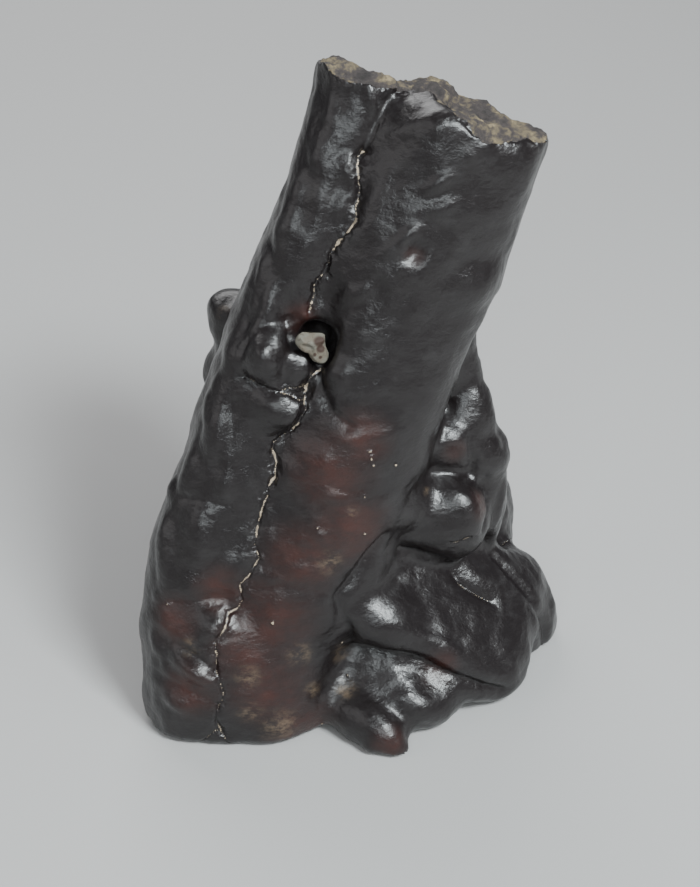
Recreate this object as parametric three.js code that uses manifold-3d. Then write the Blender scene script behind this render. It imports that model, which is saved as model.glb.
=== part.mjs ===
// An iron oxide concretion: two leaning columns grown together, both broken off at the top,
// propped by a mass of rounded lobes on their right and behind them, with a pale pebble wedged
// in the hole that the seam between the columns opens into.
// Millimetres, +Z up. It stands on z = 0, +X is to its right and +Y to its back.
import * as THREE from "three";
import { mergeVertices } from "three/addons/utils/BufferGeometryUtils.js";
import { ImprovedNoise } from "three/addons/math/ImprovedNoise.js";
import Module from "manifold-3d";

const wasm = await Module();
wasm.setup();
const { Manifold, Mesh } = wasm;

// Driving sizes. Both columns lean back from the foot, and each has stations up its height:
// [height, x of the centre, half width, half depth].
const FOOT_Y = -14;
const LEAN_BACK = 0.249;
const NARROW_COLUMN = {
  stations: [
    [-5, -33.4, 12.2, 10.6],
    [20, -34.0, 13.2, 11.6],
    [40, -28.2, 14.2, 12.2],
    [60, -22.9, 12.6, 12.2],
    [80, -16.4, 12.0, 12.0],
    [100, -10.6, 9.6, 11.4],
    [120, -2.2, 9.6, 11.0],
    [152, 7.4, 9.8, 10.8],
  ],
  rings: 22,
  sides: 20,
};
const WIDE_COLUMN = {
  stations: [
    [-5, -17.4, 13.4, 13.4],
    [20, -16.0, 14.2, 14.6],
    [40, -7.6, 15.4, 15.6],
    [60, -0.4, 17.0, 16.2],
    [80, 7.4, 16.0, 16.4],
    [100, 11.9, 19.0, 16.8],
    [120, 19.6, 19.0, 17.2],
    [152, 29.6, 17.6, 16.6],
  ],
  rings: 22,
  sides: 24,
};
const COLUMN_SQUARENESS = 2.3; // 2 is an ellipse
const FOOT_ROUNDING = 9; // height over which a column's foot rounds in

// How the grown surface rolls, in mm: the length of a wave and its height.
const ROLL = { wave: 15, height: 1.0 };
const RIPPLE = { wave: 6, height: 0.4 };

// Swellings and hollows: where, how far they reach and how far they rise.
const SWELLINGS = [
  { centre: [-15.7, -4, 86.5], reach: 8, rise: 2.2 }, // below the hole, on the seam's left
  { centre: [-13.2, -6.5, 76.5], reach: 8, rise: 2.2 },
  { centre: [-12.5, -0.5, 97], reach: 7, rise: -1.6 }, // hollow above them
  { centre: [28, 6, 97], reach: 9, rise: 1.8 }, // on the wide column's right edge
  { centre: [1, -8, 83], reach: 7, rise: 1.2 },
  { centre: [-22, 8, 112], reach: 9, rise: 1.0 }, // down the narrow column's left flank
  { centre: [-25, 1, 84], reach: 9, rise: 1.0 },
  { centre: [-36, -3, 56], reach: 8, rise: 1.4 },
  { centre: [-44, -8, 36], reach: 9, rise: 1.0 },
  { centre: [-29, -21, 29], reach: 8, rise: 1.4 }, // above the foot
  { centre: [-31, -27, 12], reach: 9, rise: 1.2 },
  { centre: [6, -16.5, 31], reach: 9, rise: 1.4 }, // near corner of the tongue
];

// The rounded lobes, each a ball drawn out to three half sizes and turned about X, Y and Z.
const LOBES = [
  // Between the columns
  // the foot they share
  { centre: [-24.6, -11.4, 10], half: [21.4, 15.6, 24], turn: [-10, 8, 0], power: 2.8, detail: 4 },
  { centre: [-20, -5.2, 38], half: [12, 12.8, 38], turn: [-14, 15.7, 0], detail: 3 }, // along the seam
  // Right side, from the foot up
  // the broad tongue, and the ridge behind it
  { centre: [17.8, -1.4, 22], half: [28.4, 18.7, 8.3], turn: [36, 32, -18], power: 4.2, detail: 5 },
  { centre: [29.4, 5, 18.4], half: [15, 8, 8], turn: [20, 42, 0], power: 2.5, detail: 3 },
  { centre: [10.6, -14, 7], half: [15.4, 10, 9], turn: [0, 20, -22], detail: 3 }, // under the tongue
  { centre: [3, -22, 4], half: [13.5, 6.6, 6.4], turn: [0, 22, -38], detail: 3 }, // nearest foot
  { centre: [27, -1, 4], half: [14, 11, 9], detail: 3 }, // below the tongue's far end
  { centre: [37, 13, 8], half: [11.4, 11, 17], turn: [0, -20, 0], detail: 3 }, // far right
  // above the tongue
  { centre: [18.6, 2, 42.2], half: [12.6, 9.4, 10.4], turn: [0, 8, 0], power: 2.6, detail: 3 },
  { centre: [29.4, 10, 53], half: [6.4, 6.4, 6.6], detail: 2 }, // shoulder
  { centre: [21.6, 7, 58.2], half: [6.8, 6.4, 7], detail: 2 },
  { centre: [25.6, 11, 62.2], half: [6.2, 6.4, 8.5], detail: 2 },
  { centre: [23.8, 13.5, 72.6], half: [5.6, 5.8, 11], detail: 2 }, // spur behind the wide column
  { centre: [23.8, 16, 86.4], half: [5, 5.8, 12], detail: 2 },
  { centre: [23.5, 13, 43], half: [12, 10, 23], power: 2.5, detail: 2 }, // what they grow from
  { centre: [14.2, 13.4, 125.4], half: [8.6, 12.2, 12.4], power: 2.4, detail: 2 }, // shoulder at the wide column's top
  // Left and back
  { centre: [-25, 22, 81], half: [7.3, 7, 6.5], power: 2.8, detail: 3 }, // knob behind the narrow column
  { centre: [-26, 21, 67.5], half: [7.6, 8, 9.5], detail: 2 },
  { centre: [-27, 20, 34], half: [13, 13, 27], detail: 3 },
  { centre: [-9, 29, 44], half: [13, 11.5, 30], turn: [-6, 6, 0], detail: 3 },
  { centre: [10, 29, 38], half: [13, 12, 28], turn: [-4, -5, 0], detail: 3 },
  { centre: [27, 27, 22], half: [12, 12, 20], detail: 2 },
  { centre: [-21, 33, 13], half: [12.5, 11, 14], detail: 2 },
  { centre: [-1, 38, 11], half: [14, 10, 13], detail: 2 },
  { centre: [18, 36, 9], half: [13, 10.5, 11], detail: 2 },
  { centre: [-6, 25, 76], half: [9.5, 9, 15], turn: [-10, 14, 0], detail: 2 },
  { centre: [12, 27, 72], half: [9.5, 8.5, 14], turn: [-10, 8, 0], detail: 2 },
  { centre: [-4, 8, 26], half: [27, 20, 30], detail: 2 }, // core that carries them
];

// The broken faces at the tops: a point on each, how it is tilted, how far it falls off round
// that point, and the size of its steps.
const NARROW_BREAK = {
  centre: [-1, 20, 140.8],
  turn: [-20, 14, 0],
  fall: 0.012,
  size: 48,
  rough: { wave: 5, height: 1.4 },
  cells: 10,
};
const WIDE_BREAK = {
  centre: [25, 18.6, 130.8],
  turn: [-6.5, 20.5, 0],
  fall: 0.006,
  size: 66,
  rough: { wave: 6, height: 1.8 },
  cells: 12,
};
const FLOOR = 0;
const FLOOR_BLOCK = { width: 200, depth: 60 }; // what it takes away leaves the flat the part rests on
const BREAK_DEPTH = 40; // thickness of the block that takes the broken-off part away

// The hole in the seam, and the pebble wedged in it: a broad end and a narrow one.
const HOLE = { centre: [-6.6, -2.4, 88.4], half: [5, 8, 4.9], turn: [0, 20, 0], detail: 3 };
const PEBBLE = [
  { centre: [-8.5, -4.2, 88.6], half: [2.8, 2, 2.1], turn: [0, 20, 0], detail: 1 },
  { centre: [-6.4, -4, 85.8], half: [1.8, 1.9, 2.7], turn: [0, -28, 0], detail: 1 },
];
const PEBBLE_GAP = 0.35;

const perlin = new ImprovedNoise();
const vector = (xyz) => new THREE.Vector3(...xyz);
const turned = (degrees) => new THREE.Euler(...degrees.map(THREE.MathUtils.degToRad));

function noise(at, { wave, height }) {
  return height * perlin.noise(at.x / wave, at.y / wave, at.z / wave);
}

// A closed solid from a geometry, once each of its vertices is moved.
function solidOf(geometry, move) {
  const bare = geometry.clone();
  bare.deleteAttribute("normal");
  bare.deleteAttribute("uv");
  const merged = mergeVertices(bare, 1e-4);
  const position = merged.attributes.position;
  for (let i = 0; i < position.count; i++) {
    const vertex = move(new THREE.Vector3().fromBufferAttribute(position, i));
    position.setXYZ(i, vertex.x, vertex.y, vertex.z);
  }
  return new Manifold(
    new Mesh({
      numProp: 3,
      vertProperties: new Float32Array(position.array),
      triVerts: new Uint32Array(merged.index.array),
    }),
  );
}

function geometryOf(solid) {
  const { vertProperties, triVerts } = solid.getMesh();
  const geometry = new THREE.BufferGeometry();
  geometry.setAttribute("position", new THREE.BufferAttribute(vertProperties, 3));
  geometry.setIndex(new THREE.BufferAttribute(triVerts, 1));
  geometry.computeVertexNormals();
  return geometry;
}

const fused = (solids) => solids.reduce((whole, solid) => whole.add(solid));

// How far the surface stands out at a point, from its rolling and from the swellings near it.
function relief(at) {
  const swelling = SWELLINGS.reduce((sum, { centre, reach, rise }) => {
    const nearness = Math.max(0, 1 - at.distanceTo(vector(centre)) / reach);
    return sum + rise * nearness * nearness * (3 - 2 * nearness);
  }, 0);
  return noise(at, ROLL) + noise(at, RIPPLE) + swelling;
}

// Draws a direction out from a ball, or a circle, to its boxier cousin of the same half size.
function squared(direction, power) {
  const spread = direction.toArray().reduce((sum, part) => sum + Math.abs(part) ** power, 0);
  return spread > 0 ? direction.multiplyScalar(direction.length() * spread ** (-1 / power)) : direction;
}

// A column is a lathed rod of radius 1 and height 1, bent along its stations and swollen.
function column({ stations, rings, sides }) {
  const centres = stations.map(([z, x]) => new THREE.Vector3(x, FOOT_Y + LEAN_BACK * z, z));
  const sizes = stations.map(([, , width, depth]) => new THREE.Vector2(width, depth));
  const spine = new THREE.CatmullRomCurve3(centres);
  const halves = new THREE.SplineCurve(sizes);
  const up = spine.getPoint(1).sub(spine.getPoint(0)).normalize();
  const back = new THREE.Vector3(0, 1, 0).addScaledVector(up, -up.y).normalize();
  const right = new THREE.Vector3().crossVectors(back, up);
  const foot = spine.getPoint(0);
  const profile = [new THREE.Vector2(0, 0)];
  for (let i = 0; i <= rings; i++) profile.push(new THREE.Vector2(1, i / rings));
  profile.push(new THREE.Vector2(0, 1));

  return solidOf(new THREE.LatheGeometry(profile, sides), (rod) => {
    const centre = spine.getPoint(rod.y);
    const half = halves.getPoint(rod.y);
    const sunk = Math.max(0, 1 - centre.distanceTo(foot) / FOOT_ROUNDING);
    const rounding = 0.45 + 0.55 * Math.sqrt(1 - sunk * sunk);
    const across = squared(new THREE.Vector3(rod.x, 0, rod.z), COLUMN_SQUARENESS);
    const outward = new THREE.Vector3()
      .addScaledVector(right, across.x * half.x * rounding)
      .addScaledVector(back, -across.z * half.y * rounding);
    const vertex = centre.add(outward);
    return outward.length() < 1 ? vertex : vertex.addScaledVector(outward.normalize(), relief(vertex));
  });
}

function lobe({ centre, half, turn = [0, 0, 0], power = 2, detail = 5 }) {
  return solidOf(new THREE.IcosahedronGeometry(1, detail), (ball) => {
    const outward = squared(ball, power).multiply(vector(half)).applyEuler(turned(turn));
    const vertex = vector(centre).add(outward);
    return vertex.addScaledVector(outward.normalize(), relief(vertex));
  });
}

// A block with a rough underside, which takes away what is above a broken face.
function breakAbove({ centre, turn, fall, size, rough, cells }) {
  const block = new THREE.BoxGeometry(size, size, BREAK_DEPTH, cells, cells, 1);
  return solidOf(block, (corner) => {
    const isLow = corner.z < 0;
    const drop = fall * (corner.x ** 2 + corner.y ** 2);
    const vertex = corner.setZ(isLow ? -drop : BREAK_DEPTH).applyEuler(turned(turn)).add(vector(centre));
    return isLow ? vertex.setZ(vertex.z + noise(vertex, rough)) : vertex;
  });
}

const columns = fused([
  column(NARROW_COLUMN).subtract(breakAbove(NARROW_BREAK)),
  column(WIDE_COLUMN).subtract(breakAbove(WIDE_BREAK)),
]);
const floorBlock = new THREE.BoxGeometry(FLOOR_BLOCK.width, FLOOR_BLOCK.width, FLOOR_BLOCK.depth);
const underFloor = solidOf(floorBlock, (corner) => corner.setZ(corner.z + FLOOR - FLOOR_BLOCK.depth / 2));
const roundPebble = PEBBLE.map((end) => lobe({ ...end, half: end.half.map((half) => half + PEBBLE_GAP) }));
const concretion = fused([columns, ...LOBES.map(lobe)])
  .subtract(fused([lobe(HOLE), ...roundPebble]))
  .subtract(underFloor);
const pebble = fused(PEBBLE.map(lobe));

const outside = geometryOf(concretion);
outside.computeBoundingBox();
const middle = outside.boundingBox.getCenter(new THREE.Vector3());
const specimen = new THREE.Group();
const pieces = [
  ["concretion", concretion, { color: 0x2a2221, roughness: 0.3, metalness: 0 }],
  ["pebble", pebble, { color: 0xb3a282, roughness: 0.8, metalness: 0 }],
];
for (const [name, solid, finish] of pieces) {
  const geometry = geometryOf(solid).translate(-middle.x, -middle.y, -FLOOR);
  const mesh = new THREE.Mesh(geometry, new THREE.MeshStandardMaterial(finish));
  mesh.name = name;
  specimen.add(mesh);
}

export default specimen;
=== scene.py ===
"""An iron oxide concretion: two leaning columns grown together and broken off at the top, propped by
rounded lobes, with a pale filled seam and a pale pebble wedged in the hole in that seam."""

import math

import bmesh
import bpy
import numpy as np
from mathutils import Euler, Matrix, Vector, noise
from mathutils.bvhtree import BVHTree
from mathutils.kdtree import KDTree


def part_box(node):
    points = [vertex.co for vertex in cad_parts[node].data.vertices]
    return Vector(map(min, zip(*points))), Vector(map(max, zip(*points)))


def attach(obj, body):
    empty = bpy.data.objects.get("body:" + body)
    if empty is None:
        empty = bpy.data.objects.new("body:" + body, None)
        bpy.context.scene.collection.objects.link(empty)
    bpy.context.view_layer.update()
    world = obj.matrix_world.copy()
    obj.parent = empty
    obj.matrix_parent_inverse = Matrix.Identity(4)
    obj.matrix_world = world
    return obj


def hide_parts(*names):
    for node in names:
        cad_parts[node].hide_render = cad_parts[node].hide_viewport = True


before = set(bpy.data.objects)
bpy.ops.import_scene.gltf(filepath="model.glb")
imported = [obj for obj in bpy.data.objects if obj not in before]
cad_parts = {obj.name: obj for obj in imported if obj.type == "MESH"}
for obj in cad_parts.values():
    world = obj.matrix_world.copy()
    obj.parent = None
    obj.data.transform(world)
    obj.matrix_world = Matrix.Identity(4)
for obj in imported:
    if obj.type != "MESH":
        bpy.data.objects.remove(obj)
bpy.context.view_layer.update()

bl_info = {
    "name": "Iron oxide concretion",
    "version": (1, 0, 0),
    "blender": (4, 5, 0),
    "location": "3D View > Sidebar > Concretion",
    "description": "Builds a glossy iron oxide concretion with its filled seam and wedged pebble",
    "category": "Add Mesh",
}

MM = 0.001

# The camera, which also turns a place in the picture into a place on the concretion, and how much of
# the concretion one pixel of the picture spans.
PICTURE = (700, 887)
FOCAL_PX = 2000
CAMERA_ELEVATION = math.radians(33)
CAMERA_DISTANCE = 430 * MM
CAMERA_TARGET = Vector((-1.12, -7.84, 62)) * MM
PIXEL_SPAN = 0.21 * MM

# The seam and the filled cracks, as lines in the picture.
SEAM = [
    (362, 152), (358, 159), (358, 173), (359, 186), (354, 204), (354, 220), (347, 231), (337, 243),
    (329, 256), (327, 267), (323, 276), (318, 281), (315, 287), (314, 296), (310, 310),
]
SEAM_BELOW_HOLE = [
    (318, 367), (314, 372), (308, 381), (307, 389), (305, 398), (305, 411), (299, 422), (291, 429),
    (283, 435), (275, 443), (272, 450), (276, 463), (274, 477), (268, 487), (263, 507), (258, 523),
    (255, 535), (254, 547), (259, 559), (252, 570), (247, 579), (239, 585), (240, 592), (241, 602),
    (237, 609), (229, 612), (226, 627), (219, 637), (215, 642), (216, 655), (216, 670), (219, 682),
    (223, 692), (222, 702), (216, 712), (216, 720), (221, 733),
]
FILLED_CRACKS = {
    "fork left": [(221, 733), (215, 732), (205, 739), (195, 745)],
    "fork right": [(221, 733), (227, 742), (237, 750)],
    "branch left": [(247, 379), (256, 384), (266, 389)],
    "branch low": [(277, 392), (288, 394), (294, 397), (304, 400)],
    "branch high": [(283, 391), (290, 388), (298, 388), (306, 387)],
    "tongue": [(461, 582), (470, 589), (480, 595), (490, 600)],
    "lobe": [(450, 542), (458, 542), (470, 537)],
    "far right": [(501, 545), (507, 541), (513, 537)],
}

# Creases where the surface folds in: depth and reach in mm, then the line.
CREASES = {
    "tongue top": (1.1, 3.6, [
        (400, 549), (415, 552), (430, 556), (445, 562), (452, 570), (459, 580), (465, 585), (475, 591),
        (492, 602),
    ]),
    "tongue right": (1.2, 3.0, [
        (484, 540), (495, 556), (505, 567), (520, 582), (535, 600), (542, 618), (546, 630), (545, 645),
    ]),
    "tongue's left side": (1.5, 3.0, [(338, 596), (350, 582), (362, 566), (374, 551), (386, 538)]),
    "tongue's left end": (1.2, 3.0, [(338, 603), (343, 618), (349, 634), (353, 646)]),
    "below the tongue's rim": (2.2, 3.4, [
        (352, 650), (372, 653), (398, 658), (428, 667), (458, 679), (486, 689), (504, 693),
    ]),
    "seam at the top": (0.9, 1.8, [
        (399, 91), (389, 98), (382, 112), (377, 119), (370, 134), (365, 148), (360, 156),
    ]),
    "lobe's right side": (1.0, 2.6, [(484, 482), (489, 495), (490, 512), (486, 530)]),
    "shoulder": (0.8, 2.4, [(470, 437), (471, 450), (472, 464), (470, 474)]),
    "right of the lump": (1.1, 2.8, [(319, 369), (319, 382), (324, 398), (331, 412), (348, 426)]),
    "above the lump": (0.9, 3.0, [(243, 352), (252, 338), (262, 328), (276, 322), (292, 322)]),
    "between the lumps": (0.9, 2.4, [(244, 377), (258, 386), (272, 391), (286, 392), (304, 394)]),
    "between the upper lumps": (0.7, 4.4, [(290, 340), (286, 356), (284, 372), (282, 388)]),
    "flank high": (0.5, 3.4, [(306, 150), (301, 172), (303, 190), (294, 214)]),
    "flank middle": (0.5, 3.0, [(262, 290), (256, 312), (246, 326), (238, 350)]),
    "flank low": (0.45, 3.0, [(232, 402), (230, 430), (222, 452), (214, 478), (213, 500)]),
    "across the flank": (0.7, 2.2, [(184, 498), (200, 502), (222, 504)]),
    "above the foot": (0.8, 3.6, [(172, 602), (190, 602), (208, 598), (226, 600)]),
    "across the wide column": (0.5, 3.6, [(250, 588), (285, 588), (320, 592), (345, 590)]),
    "above the ridge": (0.7, 2.6, [(166, 640), (184, 650), (200, 662), (214, 672)]),
    "below the ridge": (0.7, 2.6, [(160, 676), (182, 688), (204, 698), (216, 704)]),
}

# Raised places: place in the picture, half length and half width in mm, how the long way is turned
# from upright in the picture in degrees, and how far it stands out in mm. A negative height is a dent.
LUMPS = {
    "below the hole": ((263, 356), 5.6, 4.8, -8, 2.4),
    "its bright crown": ((266, 352), 4.0, 1.5, -24, 0.8),
    "beside the hole": ((302, 366), 4.2, 3.0, 8, 1.9),
    "lower": ((279, 410), 4.8, 5.2, -20, 2.4),
    "lower right": ((294, 410), 4.2, 2.0, 30, 1.1),
    "right of the hole": ((336, 374), 3.4, 2.8, 60, 1.0),
    "hollow left of the hole": ((290, 322), 2.4, 5.0, 74, -1.6),
    "right edge": ((477, 287), 4.8, 6.5, -34, 1.5),
    "pit": ((415, 256), 3.0, 2.0, 34, -1.7),
    "pit lip": ((409, 266), 1.0, 2.2, -20, 0.6),
    "above the pit": ((410, 233), 1.3, 2.8, -30, 0.9),
    "beside the pit": ((396, 246), 3.6, 1.5, 60, 0.7),
    "wide top": ((438, 183), 3.6, 1.4, 58, 1.0),
    "wide upper": ((444, 207), 3.4, 1.5, 66, 0.8),
    "wide middle": ((356, 294), 4.6, 2.0, 70, 0.7),
    "wide shoulder": ((414, 104), 3.0, 1.3, -34, 0.5),
    "narrow top": ((372, 100), 3.6, 1.2, -18, 0.8),
    "narrow middle": ((351, 172), 3.6, 1.6, -12, 0.7),
    "narrow lower": ((344, 206), 4.0, 2.0, 20, 0.7),
    "facet edge": ((330, 116), 4.0, 1.8, 4, 0.5),
    "flank ridge": ((319, 158), 3.6, 2.4, 12, 0.5),
    "flank dent": ((306, 212), 4.0, 2.0, 14, -0.6),
    "lump under the break": ((320, 100), 6.0, 2.0, 14, -0.5),
    "brown column 1": ((336, 497), 1.6, 3.2, 10, 0.6),
    "brown column 2": ((350, 512), 1.6, 2.6, -20, 0.35),
    "brown column 3": ((316, 462), 3.4, 3.0, -26, 0.5),
    "brown column 4": ((322, 536), 1.6, 2.0, 20, 0.5),
    "brown column 5": ((352, 474), 2.6, 3.2, 30, 0.3),
    "brown column 6": ((298, 476), 3.0, 2.4, -30, 0.4),
    "brown column 7": ((312, 572), 2.0, 4.6, 14, 0.35),
    "fold right of the lump": ((366, 436), 1.8, 6.0, -8, 0.6),
    "foot lump": ((214, 626), 3.4, 3.6, 20, 0.9),
    "foot ridge": ((196, 672), 6.4, 2.2, -62, 1.5),
    "foot low": ((176, 703), 3.6, 1.9, -68, 1.0),
    "foot left": ((156, 645), 3.4, 1.8, -24, 0.9),
    "foot speck": ((173, 647), 1.8, 1.2, -50, 0.6),
    "foot brown": ((262, 700), 3.0, 5.0, 0, 0.4),
    "foot tan": ((280, 728), 3.0, 4.0, 30, 0.5),
    "foot band": ((336, 640), 6.0, 2.0, -4, 0.3),
    "boss": ((396, 619), 6.4, 5.8, 20, 1.5),
    "tongue rim": ((436, 643), 10.0, 1.8, -66, 0.6),
    "fold beside the tongue": ((380, 566), 8.0, 4.0, 38, 1.2),
    "tongue fold": ((470, 566), 4.6, 3.0, -30, 0.6),
    "lobe face": ((467, 502), 6.0, 3.6, -24, 1.4),
    "lobe left": ((412, 514), 5.6, 3.0, 14, 1.2),
    "lobe foot": ((466, 529), 2.2, 3.4, 20, 0.5),
    "shoulder bump": ((488, 459), 4.4, 4.4, 0, 0.7),
    "shoulder left": ((450, 443), 3.0, 4.0, 0, 0.7),
    "shoulder dent": ((452, 452), 1.8, 2.6, 0, -0.8),
    "strip": ((500, 508), 6.0, 1.4, -6, 0.8),
    "low lobe 1": ((418, 706), 6.0, 2.4, -62, 1.1),
    "above the low lobe": ((428, 676), 3.2, 6.0, 28, -1.3),
    "low lobe 2": ((376, 722), 9.0, 3.0, -48, 0.9),
}

# Flat-topped drips down the left flank, named as the lumps are.
DRIPS = {
    "flank 1": ((215, 431), 5.2, 3.0, 8, 0.8),
    "flank 2": ((188, 472), 5.2, 2.6, 8, 0.8),
    "flank 3": ((197, 533), 6.0, 3.8, 4, 0.8),
    "flank 4": ((225, 478), 5.0, 2.4, 14, 0.7),
    "flank 5": ((163, 556), 7.8, 2.2, 2, 0.9),
    "flank 6": ((171, 488), 2.4, 1.8, 0, 0.7),
    "flank 7": ((231, 350), 4.0, 3.0, 20, 0.8),
    "flank 8": ((262, 306), 5.4, 2.8, 16, 0.7),
    "flank 9": ((263, 268), 3.4, 1.6, 14, 0.6),
    "flank 10": ((282, 236), 6.0, 2.2, 16, 0.6),
    "flank 11": ((206, 405), 3.0, 1.6, 6, 0.7),
    "flank 12": ((299, 186), 3.6, 1.6, 10, 0.5),
}

# Patches, each a place in the picture and a reach in mm: warm brown, partly where the crust is thin and
# partly a painted reddish reflection in hollows and low on the columns, and paler, dusty tan. The
# specks are chips of pale filling.
BROWN_AND_REFLECTION_PATCHES = [
    ((330, 470), 13), ((350, 530), 12), ((300, 560), 12), ((270, 620), 14), ((270, 690), 13),
    ((300, 730), 11), ((360, 440), 9), ((220, 590), 8), ((250, 650), 12), ((175, 620), 8),
    ((190, 690), 9), ((415, 257), 3), ((480, 505), 5), ((455, 452), 4), ((300, 318), 5),
    ((390, 745), 6), ((440, 668), 6),
]
TAN_PATCHES = [
    ((224, 312), 2.6), ((351, 512), 2.0), ((280, 726), 6), ((250, 712), 4), ((345, 690), 3.4),
    ((427, 492), 1.5), ((330, 562), 4), ((300, 655), 4), ((248, 677), 4), ((312, 690), 3),
    ((190, 648), 3), ((342, 650), 4),
]
PALE_SPECKS = [
    (371, 452), (372, 458), (373, 465), (396, 464), (364, 496), (365, 535), (317, 527), (272, 622),
    (342, 642), (322, 724), (348, 676), (166, 605),
]

# The tops' broken faces: a point on each, how it is tilted, how far it reaches in mm, and the lip in
# front of it as a line in the picture.
BREAKS = {
    "narrow": (Vector((-2.12, 12.16, 140.8)), Euler((math.radians(-20), math.radians(14), 0)), 17, [
        (316, 60), (327, 72), (338, 81), (352, 85), (372, 87), (388, 94), (404, 90),
    ]),
    "wide": (Vector((23.88, 10.76, 130.8)), Euler((math.radians(-6.5), math.radians(20.5), 0)), 27, [
        (400, 80), (415, 86), (433, 92), (453, 112), (471, 130), (485, 144), (507, 143), (527, 138),
        (541, 141), (552, 146),
    ]),
}

# The edge between the sides and the flat that the concretion rests on: how far it is rounded, and up
# to which height a vertex still lies on that flat.
FOOT_ROUNDING = 2.4 * MM
FLOOR_ZONE = 0.6 * MM

# Balls that fill deep crevices between lobes: a centre and a radius in mm.
FILLERS = {
    "beside the foot": ((0.4, -17.8, 13.6), 6.0),
    "lower beside the foot": ((-0.5, -17.5, 7), 6.4),
}

# Places that are drawn along before anything else: a centre, a reach and a move in mm.
PULLS = {
    "front lip of the wide break": ((23, -5, 129), 13, (0, 0, 2.6)),
    "slope beside the shoulder": ((16, -3.5, 132), 9, (0, -0.6, 3.2)),
    "hole's right side": ((-2.2, -13.5, 89.4), 7, (-2.4, 0.3, 0)),
    "hole's lower left side": ((-11.6, -11.4, 86.2), 5.5, (2.0, 0, 1.2)),
    "hole's left side": ((-12.4, -10.8, 90), 4.5, (1.2, 0, 0)),
    "hole's lower side": ((-6.4, -12.4, 82), 5, (0, 0, 1.2)),
    "hole's upper side": ((-6.8, -9, 95.5), 6.5, (0, -0.3, -3.4)),
    "hole's lower right side": ((-3.4, -12.6, 84.6), 5, (-1.4, 0, 1.8)),
    "right end of the wide break": ((37, 3.5, 125), 15, (0.6, 0, 3.6)),
    "rear left rim of the wide break": ((18, 21, 131), 8, (-0.5, 0.5, 2.2)),
    "front of the narrow break": ((-2.2, 2.6, 139.5), 9, (0, 0, -3.2)),
    "rear of the narrow break": ((-4.5, 18, 137.5), 7, (-0.4, 0.4, 0.8)),
}

# Places where edges are worn down the most: a centre, a reach in mm and how many rounds of smoothing,
# which come in passes over less and less of the reach.
SOFTENED = {
    "hole": ((-7.7, -10.2, 88.4), 8, 26),
    "beside the foot": ((-1.5, -21.5, 13), 11, 60),
    "rear knobs": ((-24, 16, 62), 12, 40),
    "top of the rear lobe": ((-4, 24, 76), 9, 24),
    "low beside the foot": ((-2.5, -21.5, 7.5), 8, 40),
    "tongue's left side": ((4.6, -18.5, 36.4), 9, 60),
    "beside the lobe": ((11.6, -13.5, 50), 8, 40),
    "below the shoulder": ((9.8, -3, 131), 8, 40),
}
SOFTENING_PASSES = (1, 0.85, 0.7, 0.55)

# Folds between lobes are kept sharper within this distance. Beyond this depth, the back is smoother
# and rolls more than the front.
FOLD_REACH = 1.5 * MM
BACK_START = 6 * MM

# Where the skin's faces are split, one pass for each entry: within a distance of the fine lines, and
# on the broken faces, within a distance of the vertices that are broken by no more than a share.
LINE_BANDS = (1.6 * MM, 0.9 * MM)
BREAK_BANDS = ((1, 0.9 * MM), (0.85, 0.45 * MM))

# How flat the lumps' tops are, and so how steep their sides.
ROUNDED = 1.2
FLAT_TOPPED = 1.8

# The way that the crust's fine wrinkles run, up to the right across the columns.
STREAK_SLOPE = math.radians(27)

# The pebble's stone against its solid: its share of the size, how far it is lifted, the spacing of its
# vertices and the places that are drawn along.
PEBBLE_SHARE = 0.9
PEBBLE_LIFT = Vector((0, -0.2 * MM, 1.2 * MM))
PEBBLE_GRAIN = 0.25 * MM
PEBBLE_PULLS = {
    "dark corner": ((-6.8, -11.8, 90.6), 2.8, (1.0, 0, 1.2)),
    "knob": ((-6.6, -14, 85.8), 2, (0, 0, -0.3)),
}

# The pebble's lumps and its darker brown places, named as the concretion's are, and its flat faces:
# which way each one looks, how far it lies from the pebble's middle in mm, and how much of what stands
# out is gone.
PEBBLE_LUMPS = {
    "pale corner": ((303, 340), 0.9, 0.8, 0, 0.2),
    "knob": ((320, 357), 1.0, 1.1, 0, 0.2),
    "waist": ((308, 349), 1.5, 1.1, -50, -0.9),
    "upper waist": ((320, 347), 1.0, 0.8, 0, -0.3),
}
PEBBLE_DARK_PLACES = [((320, 341), 2.2), ((321, 349), 1.6), ((315, 355), 0.7), ((321, 358), 0.6)]
PEBBLE_FACES = [
    ((0.1, -0.5, 0.9), 2.6), ((-0.6, -0.8, 0.3), 2.8), ((0.3, -1, 0.1), 1.8), ((1, -0.3, 0.2), 3.0),
]
PEBBLE_FLATNESS = 0.85

# The studio's lamps, which all aim at the concretion's middle: a place, a size, a power and a colour.
LAMPS = {
    "key": ((0.42, -0.46, 0.74), (0.26, 0.2), 15, (0.9, 0.98, 1)),
    "front": ((-0.12, -0.72, 0.46), (0.28, 0.16), 2.3, (0.9, 0.98, 1)),
    "soft": ((0.5, -0.5, 0.7), (0.9, 0.6), 4, (1, 1, 1)),
    "left": ((-0.8, -0.35, 0.5), (0.8, 0.6), 2, (1, 1, 1)),
    "back": ((-0.3, 0.8, 0.7), (0.9, 0.6), 7, (1, 1, 1)),
}
LAMPS_AIM = Vector((0, 0, 0.07))
SKY_COLOUR = (0.9, 0.93, 1, 1)
SKY_STRENGTH = 0.2


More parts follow.
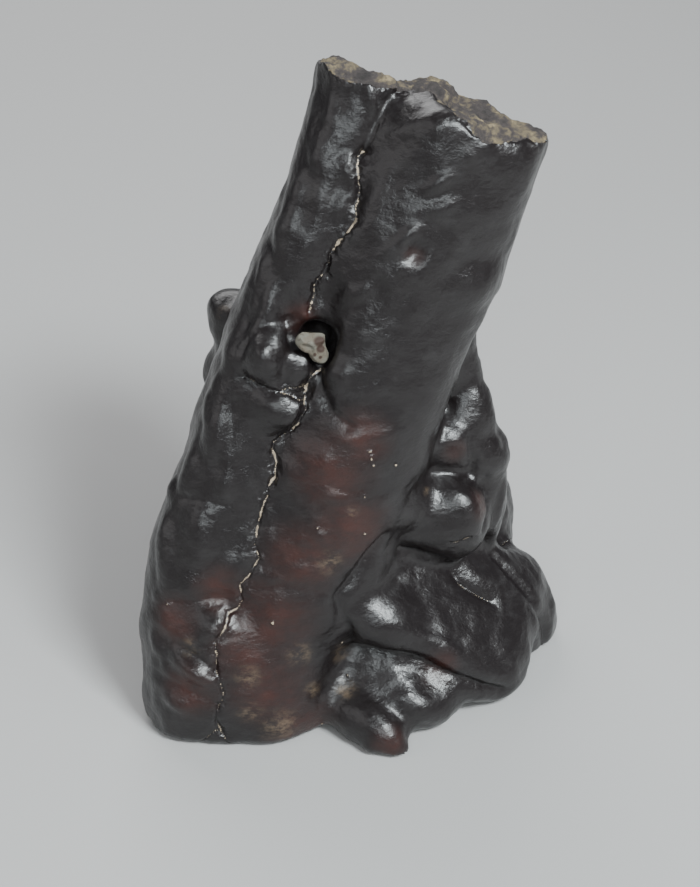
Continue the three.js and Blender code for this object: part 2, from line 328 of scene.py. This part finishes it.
class ConcretionSizes(bpy.types.PropertyGroup):
    """Sizes of the concretion's skin."""

    grain: bpy.props.FloatProperty(
        name="Surface grain",
        description="Spacing of the skin's vertices",
        default=0.93 * MM,
        unit="LENGTH",
    )
    fill_width: bpy.props.FloatProperty(
        name="Filling width",
        description="Width of the seam's pale filling",
        default=0.46 * MM,
        unit="LENGTH",
    )
    groove_depth: bpy.props.FloatProperty(
        name="Groove depth",
        description="How deep the seam and creases sink in",
        default=0.5 * MM,
        unit="LENGTH",
    )
    roll: bpy.props.FloatProperty(
        name="Roll",
        description="Height of the grown surface's small waves",
        default=0.3 * MM,
        unit="LENGTH",
    )
    break_relief: bpy.props.FloatProperty(
        name="Break relief",
        description="Height of the steps on the broken tops",
        default=0.9 * MM,
        unit="LENGTH",
    )


class ConcretionColours(bpy.types.PropertyGroup):
    """Colours of the concretion."""

    crust: bpy.props.FloatVectorProperty(
        name="Crust",
        description="The glossy crust",
        default=(0.008, 0.006, 0.0062),
        subtype="COLOR",
    )
    dusty: bpy.props.FloatVectorProperty(
        name="Dusty crust",
        description="Duller streaks",
        default=(0.03, 0.028, 0.028),
        subtype="COLOR",
    )
    # Brown crust: partly the crust's own warmer, thinner layer and partly a painted reddish reflection,
    # laid on the brown patches.
    brown: bpy.props.FloatVectorProperty(
        name="Brown crust",
        description="Thinner, warmer crust",
        default=(0.034, 0.0095, 0.0065),
        subtype="COLOR",
    )
    tan: bpy.props.FloatVectorProperty(
        name="Tan crust",
        description="Dusty tan patches",
        default=(0.17, 0.12, 0.075),
        subtype="COLOR",
    )
    filling: bpy.props.FloatVectorProperty(
        name="Filling",
        description="The filling of the seam and cracks",
        default=(0.4, 0.32, 0.23),
        subtype="COLOR",
    )
    broken_dark: bpy.props.FloatVectorProperty(
        name="Break, dark",
        description="Dark grains of the broken faces",
        default=(0.045, 0.036, 0.034),
        subtype="COLOR",
    )
    broken_pale: bpy.props.FloatVectorProperty(
        name="Break, pale",
        description="Tan grains of the broken faces",
        default=(0.42, 0.33, 0.19),
        subtype="COLOR",
    )
    pebble: bpy.props.FloatVectorProperty(
        name="Pebble",
        description="The pebble's pale side",
        default=(0.125, 0.118, 0.095),
        subtype="COLOR",
    )
    floor: bpy.props.FloatVectorProperty(
        name="Floor",
        description="The floor",
        default=(0.4, 0.395, 0.39),
        subtype="COLOR",
    )


# Camera and picture


def camera_axes():
    """Where the eye is, which way it looks, and the picture's right and upward directions."""
    along = Vector((0, math.cos(CAMERA_ELEVATION), -math.sin(CAMERA_ELEVATION)))
    upward = Vector((0, math.sin(CAMERA_ELEVATION), math.cos(CAMERA_ELEVATION)))
    return CAMERA_TARGET - along * CAMERA_DISTANCE, along, Vector((1, 0, 0)), upward


def sight(place):
    """Where the eye is and which way it looks at a place in the picture."""
    eye, along, right, upward = camera_axes()
    across = (place[0] - PICTURE[0] / 2) / FOCAL_PX
    down = (place[1] - PICTURE[1] / 2) / FOCAL_PX
    return eye, (along + right * across - upward * down).normalized()


def seen_at(co):
    """Where each vertex lies in the picture."""
    eye, along, right, upward = (np.array(part) for part in camera_axes())
    away = co - eye
    scale = FOCAL_PX / (away @ along)
    return PICTURE[0] / 2 + scale * (away @ right), PICTURE[1] / 2 - scale * (away @ upward)


def touch(tree, place):
    """The point of a surface that shows at a place in the picture, and its normal."""
    eye, ray = sight(place)
    point, normal, _, _ = tree.ray_cast(eye, ray)
    if point is None:
        return None
    return point, normal


def touched_line(tree, places, spacing=0.4 * MM):
    """Evenly spaced surface points along a line in the picture."""
    points = []
    for start, end in zip(places, places[1:]):
        steps = max(2, round(math.dist(start, end) * PIXEL_SPAN / spacing))
        for step in range(steps + 1):
            part = step / steps
            found = touch(tree, [a + (b - a) * part for a, b in zip(start, end)])
            if found is not None:
                points.append(found[0])
    return points


# Shapes


def merged_copy(node):
    """A bmesh of a solid of the frame, with its loose triangles joined up."""
    shape = bmesh.new()
    shape.from_mesh(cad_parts[node].data)
    bmesh.ops.remove_doubles(shape, verts=shape.verts, dist=0.001 * MM)
    return shape


def concave_edge_points(shape, least_angle=math.radians(24)):
    """Points along the edges where one lobe meets another."""
    points = []
    for edge in shape.edges:
        if edge.is_manifold and edge.calc_face_angle_signed(0) < -least_angle:
            length = edge.calc_length()
            steps = max(1, round(length / MM))
            a, b = (vert.co for vert in edge.verts)
            points += [a.lerp(b, (step + 0.5) / steps) for step in range(steps)]
    return points


def distances(points, co, most):
    """How far each vertex is from the nearest of some points, up to a limit."""
    tree = KDTree(len(points))
    for index, point in enumerate(points):
        tree.insert(point, index)
    tree.balance()
    places = np.array(points)
    near = np.all((co > places.min(axis=0) - most) & (co < places.max(axis=0) + most), axis=1)
    found = np.full(len(co), most)
    for index in np.flatnonzero(near):
        found[index] = min(most, tree.find(co[index])[2])
    return found


def remeshed(shape, name, grain):
    """The shape as an even net of small faces."""
    mesh = bpy.data.meshes.new(name)
    shape.to_mesh(mesh)
    shape.free()
    draft = bpy.data.objects.new(name, mesh)
    bpy.context.scene.collection.objects.link(draft)
    even = draft.modifiers.new("Even net", "REMESH")
    even.mode = "VOXEL"
    even.voxel_size = grain
    graph = bpy.context.evaluated_depsgraph_get()
    net = bmesh.new()
    net.from_mesh(draft.evaluated_get(graph).to_mesh())
    bpy.data.objects.remove(draft)
    bpy.data.meshes.remove(mesh)
    return net


def smooth(net, verts, rounds):
    """Draws each of the vertices half of the way towards the middle of its neighbours, in rounds."""
    for _ in range(rounds):
        bmesh.ops.smooth_vert(
            net, verts=verts, factor=0.5, use_axis_x=True, use_axis_y=True, use_axis_z=True
        )


def refine(net, near, reach):
    """Splits the faces that lie within reach of some points."""
    close = distances(near, coordinates(net), reach * 2) < reach
    faces = [face for face in net.faces if any(close[vert.index] for vert in face.verts)]
    edges = list({edge for face in faces for edge in face.edges})
    bmesh.ops.subdivide_edges(net, edges=edges, cuts=1, use_grid_fill=True)
    net.verts.index_update()


def coordinates(net):
    """Where each vertex is, as rows of an array."""
    return np.array([vert.co[:] for vert in net.verts])


def normals(net):
    """Which way the surface faces at each vertex."""
    net.normal_update()
    return np.array([vert.normal[:] for vert in net.verts])


def put_back(net, co):
    """Moves the vertices to the places in an array."""
    for vert, place in zip(net.verts, co):
        vert.co = place


def fade(distance, reach):
    """1 at no distance and 0 at reach, with a smooth slope between."""
    part = np.clip(1 - distance / reach, 0, 1)
    return part * part * (3 - 2 * part)


def waves(co, size, offset=0.0, layers=2):
    """Smooth noise from about -1 to 1 at each vertex. Size is the length of a wave along each axis."""
    scaled = co / np.array(size) + offset
    return np.array([noise.fractal(place, 1.0, 2.0, layers) for place in scaled.tolist()])


def upright_frame(normal, turn):
    """Directions along and across a lump that lies on a surface, turned from upright in the picture."""
    _, _, right, upward = camera_axes()
    up_the_surface = (upward - normal * upward.dot(normal)).normalized()
    across = up_the_surface.cross(normal)
    if across.dot(right) < 0:
        across = -across
    along = up_the_surface * math.cos(turn) + across * math.sin(turn)
    return along, normal.cross(along).normalized()


def lump_relief(tree, co, lumps, flatness):
    """How far the named lumps and hollows move each vertex outwards. A flat one has steep sides."""
    rise = np.zeros(len(co))
    for place, half_length, half_width, turn, height in lumps.values():
        found = touch(tree, place)
        if found is None:
            raise RuntimeError(f"nothing shows at {place}")
        centre, normal = found
        along, across = upright_frame(normal, math.radians(turn))
        away = co - np.array(centre)
        q = np.sqrt(
            (away @ np.array(along) / (half_length * MM)) ** 2
            + (away @ np.array(across) / (half_width * MM)) ** 2
            + (away @ np.array(normal) / (1.2 * max(half_length, half_width) * MM)) ** 2
        )
        rise += height * MM * (fade(q, 1.4) ** (1 / flatness) - 0.05 * fade(np.abs(q - 1.5), 0.5))
    return rise


def crease_relief(tree, co):
    """How far the named creases let each vertex sink in."""
    depth = np.zeros(len(co))
    for most, reach, places in CREASES.values():
        away = distances(touched_line(tree, places), co, 1.01 * reach * MM)
        soft, sharp = fade(away, reach * MM), fade(away, 0.4 * reach * MM)
        depth = np.maximum(depth, most * MM * (0.6 * soft + 0.4 * sharp))
    return depth


def broken_share(co, normal):
    """How much of each vertex lies on one of the tops' broken faces."""
    share = np.zeros(len(co))
    across, down = seen_at(co)
    down = down + 5 * waves(co, (2.5 * MM,) * 3, 13.0)
    for centre, tilt, reach, lip in BREAKS.values():
        upward = np.array(tilt.to_matrix() @ Vector((0, 0, 1)))
        away = co / MM - np.array(centre)
        level = fade(np.maximum(np.abs(away @ upward) - 4.5, 0), 1.4)
        near = fade(np.maximum(np.linalg.norm(away, axis=1) - reach, 0), 3)
        behind_lip = np.clip((np.interp(across, *zip(*lip)) - down) / 4 + 0.5, 0, 1)
        facing = np.clip((normal @ upward - 0.4) / 0.3, 0, 1)
        share = np.maximum(share, level * near * behind_lip * facing)
    return share


def streaks(co, offset):
    """Fine wrinkles along the streaks' slope, as when drawn with a brush."""
    along = co[:, 0] * math.cos(STREAK_SLOPE) + co[:, 2] * math.sin(STREAK_SLOPE)
    across = co[:, 2] * math.cos(STREAK_SLOPE) - co[:, 0] * math.sin(STREAK_SLOPE)
    return waves(np.stack([along, co[:, 1], across], axis=1), (7 * MM, 5 * MM, 2 * MM), offset, 3)


def grown_relief(sizes, co, outward):
    """The crust's own relief: slow swells, wrinkles in patches, and drips down its sides."""
    behind = np.clip((co[:, 1] - BACK_START) / (8 * MM), 0, 1)
    swell = (1.5 + 1.5 * behind) * sizes.roll * waves(co, (9 * MM, 9 * MM, 8 * MM))
    patch = np.clip(0.55 + 0.9 * waves(co, (14 * MM,) * 3, 21.0, 1), 0.1, 1)
    wrinkle = 0.4 * sizes.roll * patch * streaks(co, 4.0)
    side = np.clip((np.abs(outward[:, 0] + 0.25 * outward[:, 1]) - 0.45) / 0.3, 0, 1)
    side = np.maximum(side, np.clip((outward[:, 1] - 0.2) / 0.3, 0, 1))
    leaning = co - np.outer(co[:, 2], (0.32, 0.22, 0))
    drip = np.clip(2.4 * waves(leaning, (5.4 * MM, 5.4 * MM, 12 * MM), 11.0, 2), -1, 1)
    dent = np.clip(waves(co, (4.6 * MM, 4.6 * MM, 3.4 * MM), 31.0, 1) - 0.25, 0, 1)
    return swell + wrinkle + 0.9 * sizes.roll * side * drip - 1.2 * sizes.roll * dent


def pulled(co, pulls):
    """How far each vertex is drawn along with the named places."""
    shift = np.zeros(co.shape)
    for centre, reach, move in pulls.values():
        nearness = fade(np.linalg.norm(co / MM - centre, axis=1), reach)
        shift += np.outer(nearness, move) * MM
    return shift


def tucked_in(co, outward, on_floor):
    """Rounds the edge between the sides and the flat that it rests on."""
    co = co.copy()
    low = np.clip(1 - co[:, 2] / FOOT_ROUNDING, 0, 1) * ~on_floor
    wall = np.flatnonzero(~on_floor & (co[:, 2] < 1.6 * MM) & (np.abs(outward[:, 2]) < 0.8))
    tree = KDTree(len(wall))
    for index in wall:
        tree.insert((*co[index, :2], 0), index)
    tree.balance()
    inset = FOOT_ROUNDING * (1 - np.sqrt(1 - low * low))
    direction = outward[:, :2].copy()
    for index in np.flatnonzero(on_floor):
        _, nearest, away = tree.find((*co[index, :2], 0))
        inset[index] = FOOT_ROUNDING * fade(away, 2 * FOOT_ROUNDING)
        direction[index] = outward[nearest, :2]
    direction /= np.maximum(np.linalg.norm(direction, axis=1), 0.3)[:, None]
    co[:, :2] -= direction * inset[:, None]
    return co


def worn_net(sizes):
    """An even net over the concretion's solid, drawn along in places, with its edges worn down: much on
    the open surface, little along the folds and on the broken rims."""
    solid = merged_copy("concretion")
    folds = concave_edge_points(solid)
    for centre, radius in FILLERS.values():
        place = Matrix.Translation(Vector(centre) * MM)
        bmesh.ops.create_icosphere(solid, subdivisions=3, radius=radius * MM, matrix=place)
    net = remeshed(solid, "concretion draft", sizes.grain)
    net.verts.ensure_lookup_table()

    co = coordinates(net)
    raised = co[:, 2] > FLOOR_ZONE
    co = co + pulled(co, PULLS)
    put_back(net, co)
    from_fold = distances(folds, co, 2 * FOLD_REACH)
    broken = broken_share(co, normals(net))
    torn = np.array([
        max(broken[vert.index], *(broken[edge.other_vert(vert).index] for edge in vert.link_edges)) > 0.1
        for vert in net.verts
    ])
    grown = raised & ~torn
    groups = [
        (grown, 6),
        (grown & (from_fold > FOLD_REACH), 22),
        (grown, 3),
        (grown & (co[:, 1] > BACK_START), 16),
        (raised, 2),
    ]
    for centre, reach, rounds in SOFTENED.values():
        away = np.linalg.norm(co / MM - centre, axis=1)
        for part in SOFTENING_PASSES:
            groups.append((grown & (away < part * reach), rounds // len(SOFTENING_PASSES)))
    for share, rounds in groups:
        smooth(net, [net.verts[index] for index in np.flatnonzero(share)], rounds)
    return net


def fine_lines(tree):
    """Points along the seam, along the filled cracks and at the pale specks."""
    seam = touched_line(tree, SEAM) + touched_line(tree, SEAM_BELOW_HOLE)
    cracks = [point for line in FILLED_CRACKS.values() for point in touched_line(tree, line)]
    specks = [touch(tree, place)[0] for place in PALE_SPECKS if touch(tree, place) is not None]
    return seam, cracks, specks


def refine_details(net, lines):
    """Splits the faces along the fine lines and on the broken faces, most of all at their rims."""
    for reach in LINE_BANDS:
        refine(net, lines, reach)
    for most, reach in BREAK_BANDS:
        share = broken_share(coordinates(net), normals(net))
        near = [vert.co.copy() for vert, part in zip(net.verts, share) if 0.25 < part <= most]
        refine(net, near, reach)


def wavering_distances(co, seam, cracks, specks):
    """How far each vertex is from the seam, the cracks and the specks, as measured to lines that waver
    and change their width."""
    offsets = (3.0, 9.0, 17.0)
    wander = 0.3 * MM * np.stack([waves(co, (1.6 * MM,) * 3, offset) for offset in offsets], axis=1)
    width = np.clip(0.72 + 0.8 * waves(co, (2.6 * MM,) * 3, 5.0, 3), 0.3, 1.2)
    from_seam = distances(seam, co + wander, 5 * MM) / width
    from_crack = distances(cracks, co + 0.4 * wander, 3 * MM) * 1.9 / width
    from_speck = distances(specks, co + 1.5 * wander, 2 * MM)
    return from_seam, from_crack, from_speck


def ledges(co):
    """The steps and the coarse grain of a broken face."""
    steps = waves(co, (5 * MM, 9 * MM, 3 * MM), 3.0, 3)
    return steps + 0.4 * waves(co, (1.2 * MM, 2.2 * MM, 1.2 * MM), 5.0, 2)


def grown_skin(sizes):
    """The concretion's skin and the marks that its material reads."""
    net = worn_net(sizes)
    tree = BVHTree.FromBMesh(net)
    seam, cracks, specks = fine_lines(tree)
    refine_details(net, seam + cracks + specks)

    co = coordinates(net)
    outward = normals(net)
    on_floor = co[:, 2] < FLOOR_ZONE
    broken = broken_share(co, outward)
    grown = 1 - broken
    from_seam, from_crack, from_speck = wavering_distances(co, seam, cracks, specks)
    from_line = np.minimum(from_seam, from_crack)

    rise = lump_relief(tree, co, LUMPS, ROUNDED) + lump_relief(tree, co, DRIPS, FLAT_TOPPED)
    rise += grown_relief(sizes, co, outward) - crease_relief(tree, co)
    rise = rise * grown - 0.9 * sizes.groove_depth * fade(from_seam, 3 * MM) * grown
    rise -= sizes.groove_depth * fade(from_line, 0.9 * MM)
    rise += 0.7 * sizes.groove_depth * fade(from_line, 0.42 * MM)
    rise += 0.3 * MM * fade(from_speck, 0.6 * MM)
    rise += broken * sizes.break_relief * ledges(co)
    co = co + outward * rise[:, None]
    co[:, 2] = np.maximum(co[:, 2], 0)
    co[on_floor, 2] = 0
    put_back(net, tucked_in(co, outward, on_floor))

    marks = {
        "filling": np.maximum(fade(from_line, sizes.fill_width), fade(from_speck, 0.5 * MM)),
        "broken": broken,
        # The brown mark is partly real brown crust and partly a painted reddish reflection in hollows and
        # low on the columns.
        "brown": patch_share(tree, co, BROWN_AND_REFLECTION_PATCHES),
        "tan": patch_share(tree, co, TAN_PATCHES),
    }
    return net, marks


def patch_share(tree, co, patches):
    """How much of each vertex lies in a patch."""
    share = np.zeros(len(co))
    for place, reach in patches:
        found = touch(tree, place)
        if found is not None:
            share = np.maximum(share, fade(np.linalg.norm(co - np.array(found[0]), axis=1), reach * MM))
    return share


def finished(net, name, material, node):
    """Turns a bmesh into a finished piece that stands for a solid of the frame."""
    mesh = bpy.data.meshes.new(name)
    net.to_mesh(mesh)
    net.free()
    mesh.shade_smooth()
    piece = bpy.data.objects.new(name, mesh)
    bpy.context.scene.collection.objects.link(piece)
    mesh.materials.append(material)
    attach(piece, "root")
    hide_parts(node)
    return piece


def keep_marks(mesh, marks):
    """Keeps a number for each vertex under each mark's name, for the material to read."""
    for name, values in marks.items():
        mesh.attributes.new(name, "FLOAT", "POINT").data.foreach_set("value", values.astype(np.float32))


# Materials


class Field:
    """A socket of a material's nodes, for writing shader maths as expressions."""

    def __init__(self, finish, socket):
        self.finish = finish
        self.socket = socket

    def combined(self, operation, first, second):
        return self.finish.node("ShaderNodeMath", {"operation": operation}, {0: first, 1: second})

    def __add__(self, other):
        return self.combined("ADD", self, other)

    __radd__ = __add__

    def __sub__(self, other):
        return self.combined("SUBTRACT", self, other)

    def __rsub__(self, other):
        return self.combined("SUBTRACT", other, self)

    def __mul__(self, other):
        return self.combined("MULTIPLY", self, other)

    __rmul__ = __mul__


class Finish:
    """A material with one shader, and the nodes that feed it."""

    def __init__(self, name):
        self.material = bpy.data.materials.new(name)
        self.material.use_nodes = True
        self.nodes = self.material.node_tree.nodes
        self.links = self.material.node_tree.links
        self.nodes.clear()
        self.shader = self.nodes.new("ShaderNodeBsdfPrincipled")
        output = self.nodes.new("ShaderNodeOutputMaterial")
        self.links.new(self.shader.outputs["BSDF"], output.inputs["Surface"])

    def node(self, kind, settings=None, sockets=None, output=0):
        """A node with its settings made first and its sockets fed, as a field on one of its outputs."""
        made = self.nodes.new(kind)
        for name, value in (settings or {}).items():
            if name == "stops":
                self.set_stops(made.color_ramp, value)
            else:
                setattr(made, name, value)
        for name, value in (sockets or {}).items():
            self.feed(made.inputs[name], value)
        return Field(self, made.outputs[output])

    def set_stops(self, ramp, stops):
        while len(ramp.elements) < len(stops):
            ramp.elements.new(1)
        for element, (position, value) in zip(ramp.elements, stops):
            element.position = position
            element.color = (*value, 1) if isinstance(value, tuple) else (value, value, value, 1)

    def feed(self, socket, value):
        """Links a field to a socket, or sets the socket to a plain value."""
        if isinstance(value, Field):
            self.links.new(value.socket, socket)
        else:
            socket.default_value = value

    def set(self, **sockets):
        """Feeds the shader's sockets, named with _ for each space."""
        for name, value in sockets.items():
            self.feed(self.shader.inputs[name.replace("_", " ")], value)

    def mark(self, name):
        """A number that the piece's mesh keeps at each vertex."""
        return self.node("ShaderNodeAttribute", {"attribute_name": name}, output="Fac")

    def grain(self, scale, detail, roughness, stretch=(1, 1, 1), turn=(0, 0, 0)):
        """Noise in the piece's own space, stretched and turned where it is given a way to run."""
        place = self.node("ShaderNodeTexCoord", output="Object")
        stretched = self.node(
            "ShaderNodeMapping", sockets={"Vector": place, "Scale": stretch, "Rotation": turn}
        )
        return self.node(
            "ShaderNodeTexNoise",
            sockets={"Vector": stretched, "Scale": scale, "Detail": detail, "Roughness": roughness},
            output="Fac",
        )

    def step(self, field, low, high):
        """0 up to low, 1 from high."""
        return self.node(
            "ShaderNodeMapRange",
            {"interpolation_type": "SMOOTHSTEP"},
            {"Value": field, "From Min": low, "From Max": high},
        )

    def blend(self, share, first, second):
        """A colour that goes from the first to the second as the share goes from 0 to 1."""
        mixed = self.nodes.new("ShaderNodeMix")
        mixed.data_type = "RGBA"
        for index, value in ((0, share), (6, first), (7, second)):
            self.feed(mixed.inputs[index], (*value, 1) if isinstance(value, tuple) else value)
        return Field(self, mixed.outputs[2])

    def bump(self, height, distance, strength):
        """A normal that lets a field show as low relief."""
        return self.node(
            "ShaderNodeBump", sockets={"Height": height, "Distance": distance, "Strength": strength}
        )


def crust_material(colours):
    """Glossy near-black crust, warmer in patches that are partly its own brown and partly a painted reddish
    reflection, with a chalky filling and rough broken tops.
    """
    made = Finish("iron oxide crust")
    crust, brown, filling = tuple(colours.crust), tuple(colours.brown), tuple(colours.filling)
    dusty, dark, pale = tuple(colours.dusty), tuple(colours.broken_dark), tuple(colours.broken_pale)
    brushed = made.grain(210, 7, 0.7, (0.8, 1, 1.3), (0, -STREAK_SLOPE, 0))
    fine = made.grain(900, 3, 0.6)
    bloom = made.step(brushed, 0.46, 0.72)
    colour = made.blend(bloom * 0.3, crust, dusty)
    # The brown patches are partly the crust's own brown and partly a painted reddish reflection in hollows
    # and low on the columns.
    mottle = 0.45 + 0.55 * made.step(made.grain(230, 5, 0.65, (0.8, 1, 1.3)), 0.36, 0.66)
    colour = made.blend(made.mark("brown") * mottle, colour, brown)
    warm = made.step(made.grain(330, 6, 0.75, (0.8, 1, 1.4)), 0.42, 0.68)
    colour = made.blend(made.mark("tan") * warm * 0.6, colour, tuple(colours.tan))
    broken_colour = made.node(
        "ShaderNodeValToRGB",
        {"stops": [
            (0.34, tuple(0.3 * part for part in dark)),
            (0.48, dark),
            (0.58, tuple(0.4 * part for part in pale)),
            (0.7, pale),
        ]},
        {"Fac": made.grain(210, 7, 0.72, (0.8, 0.5, 1.8))},
    )
    broken = made.step(made.mark("broken") + (fine - 0.5) * 0.5, 0.3, 0.55)
    colour = made.blend(broken, colour, broken_colour)
    filled = made.step(made.mark("filling") + (fine - 0.5) * 0.8, 0.4, 0.6)
    chalky = made.step(made.grain(420, 3, 0.6), 0.36, 0.62)
    colour = made.blend(filled, colour, made.blend(chalky, tuple(0.42 * part for part in filling), filling))
    rough = 0.28 + 0.1 * bloom + 0.08 * made.mark("brown") + 0.2 * made.mark("tan")
    rough = rough + (0.85 - rough) * broken
    rough = rough + (0.8 - rough) * filled
    skin_relief = made.grain(560, 5, 0.65, (0.8, 1, 1.3), (0, -STREAK_SLOPE, 0))
    leather = made.grain(330, 3, 0.5)
    relief = (skin_relief + 1.2 * leather) * (1 - broken) + made.grain(900, 6, 0.75) * broken * 3
    made.set(Base_Color=colour, Roughness=rough, Normal=made.bump(relief, 0.28 * MM, 0.7), IOR=1.5)
    return made.material


def pebble_material(colours):
    """Dull cream stone, stained brown in spots, and dark brown at its listed darker places."""
    made = Finish("pale pebble")
    pale = tuple(colours.pebble)
    stained = made.step(made.grain(260, 3, 0.5), 0.5, 0.6)
    spots = made.step(made.grain(1100, 4, 0.6), 0.56, 0.66)
    colour = made.blend(stained * 0.4, pale, (0.09, 0.06, 0.035))
    # Dark brown at the listed darker places, on the upper right corner and low on the right side.
    colour = made.blend(made.step(made.mark("stain"), 0.1, 0.6), colour, (0.03, 0.014, 0.008))
    colour = made.blend(spots * 0.5, colour, (0.04, 0.025, 0.015))
    made.set(Base_Color=colour, Roughness=0.72, Normal=made.bump(made.grain(1300, 5, 0.65), 0.2 * MM, 0.5))
    return made.material


def plain_material(name, colour):
    """One matt colour, for the floor."""
    made = Finish(name)
    made.set(Base_Color=(*colour, 1), Roughness=0.6)
    return made.material


# Operators


class CONCRETION_OT_skin(bpy.types.Operator):
    """Grow the concretion's skin over its solid"""

    bl_idname = "concretion.skin"
    bl_label = "Concretion"

    def execute(self, context):
        scene = context.scene
        net, marks = grown_skin(scene.concretion_sizes)
        material = crust_material(scene.concretion_colours)
        piece = finished(net, "concretion_skin", material, "concretion")
        keep_marks(piece.data, marks)
        return {"FINISHED"}


class CONCRETION_OT_pebble(bpy.types.Operator):
    """Shape the pebble wedged in the hole"""

    bl_idname = "concretion.pebble"
    bl_label = "Pebble"

    def execute(self, context):
        net = remeshed(merged_copy("pebble"), "pebble draft", PEBBLE_GRAIN)
        smooth(net, net.verts, 8)
        low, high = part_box("pebble")
        middle = np.array((low + high) / 2) + PEBBLE_LIFT
        co = middle + PEBBLE_SHARE * (coordinates(net) + PEBBLE_LIFT - middle)
        co = co + pulled(co, PEBBLE_PULLS)
        put_back(net, co)
        outward = normals(net)
        tree = BVHTree.FromBMesh(net)
        stain = patch_share(tree, co, PEBBLE_DARK_PLACES)
        rise = lump_relief(tree, co, PEBBLE_LUMPS, ROUNDED)
        rise += 0.16 * MM * waves(co, (1.8 * MM,) * 3, 2.0) + 0.05 * MM * waves(co, (0.6 * MM,) * 3, 4.0)
        co = co + outward * rise[:, None]
        for direction, reach in PEBBLE_FACES:
            facing = np.array(Vector(direction).normalized())
            beyond = np.maximum((co - middle) @ facing - reach * MM, 0)
            co = co - PEBBLE_FLATNESS * np.outer(beyond, facing)
        put_back(net, co)
        material = pebble_material(context.scene.concretion_colours)
        piece = finished(net, "pebble_stone", material, "pebble")
        keep_marks(piece.data, {"stain": stain})
        return {"FINISHED"}


def area_light(name, place, size, power, colour):
    """A soft lamp that looks at the concretion's middle."""
    lamp = bpy.data.lights.new(name, "AREA")
    lamp.shape = "RECTANGLE"
    lamp.size, lamp.size_y = size
    lamp.energy = power
    lamp.color = colour
    holder = bpy.data.objects.new(name, lamp)
    holder.location = place
    holder.rotation_euler = (LAMPS_AIM - Vector(place)).to_track_quat("-Z", "Y").to_euler()
    bpy.context.scene.collection.objects.link(holder)


class CONCRETION_OT_stage(bpy.types.Operator):
    """Make the camera, the floor and the soft studio light"""

    bl_idname = "concretion.stage"
    bl_label = "Stage"

    def execute(self, context):
        scene = context.scene
        eye, along, _, _ = camera_axes()
        camera = bpy.data.cameras.new("camera")
        camera.sensor_width = 36
        camera.lens = FOCAL_PX / max(PICTURE) * camera.sensor_width
        holder = bpy.data.objects.new("camera", camera)
        holder.location = eye
        holder.rotation_euler = along.to_track_quat("-Z", "Y").to_euler()
        scene.collection.objects.link(holder)
        scene.camera = holder

        floor = bmesh.new()
        bmesh.ops.create_grid(floor, x_segments=1, y_segments=1, size=3)
        mesh = bpy.data.meshes.new("floor")
        floor.to_mesh(mesh)
        floor.free()
        mesh.materials.append(plain_material("floor", tuple(scene.concretion_colours.floor)))
        ground = bpy.data.objects.new("floor", mesh)
        scene.collection.objects.link(ground)

        world = bpy.data.worlds.new("studio")
        world.use_nodes = True
        sky = world.node_tree.nodes["Background"]
        sky.inputs["Color"].default_value = SKY_COLOUR
        sky.inputs["Strength"].default_value = SKY_STRENGTH
        scene.world = world
        for name, (place, size, power, colour) in LAMPS.items():
            area_light(name, place, size, power, colour)
        return {"FINISHED"}


class CONCRETION_PT_panel(bpy.types.Panel):
    """Lists the steps and their sizes and colours"""

    bl_label = "Concretion"
    bl_space_type = "VIEW_3D"
    bl_region_type = "UI"
    bl_category = "Concretion"

    def draw(self, context):
        for operator in (CONCRETION_OT_skin, CONCRETION_OT_pebble, CONCRETION_OT_stage):
            self.layout.operator(operator.bl_idname)
        for group in (context.scene.concretion_sizes, context.scene.concretion_colours):
            for name in group.__annotations__:
                self.layout.prop(group, name)


CLASSES = (
    ConcretionSizes,
    ConcretionColours,
    CONCRETION_OT_skin,
    CONCRETION_OT_pebble,
    CONCRETION_OT_stage,
    CONCRETION_PT_panel,
)


def register():
    """Tells Blender of the classes and hangs the sizes and colours on the scene."""
    for item in CLASSES:
        bpy.utils.register_class(item)
    bpy.types.Scene.concretion_sizes = bpy.props.PointerProperty(type=ConcretionSizes)
    bpy.types.Scene.concretion_colours = bpy.props.PointerProperty(type=ConcretionColours)


def unregister():
    del bpy.types.Scene.concretion_colours
    del bpy.types.Scene.concretion_sizes
    for item in reversed(CLASSES):
        bpy.utils.unregister_class(item)


def main():
    """Makes the stage and the pieces."""
    register()
    bpy.ops.concretion.stage()
    bpy.ops.concretion.skin()
    bpy.ops.concretion.pebble()


if __name__ == "__main__":
    main()
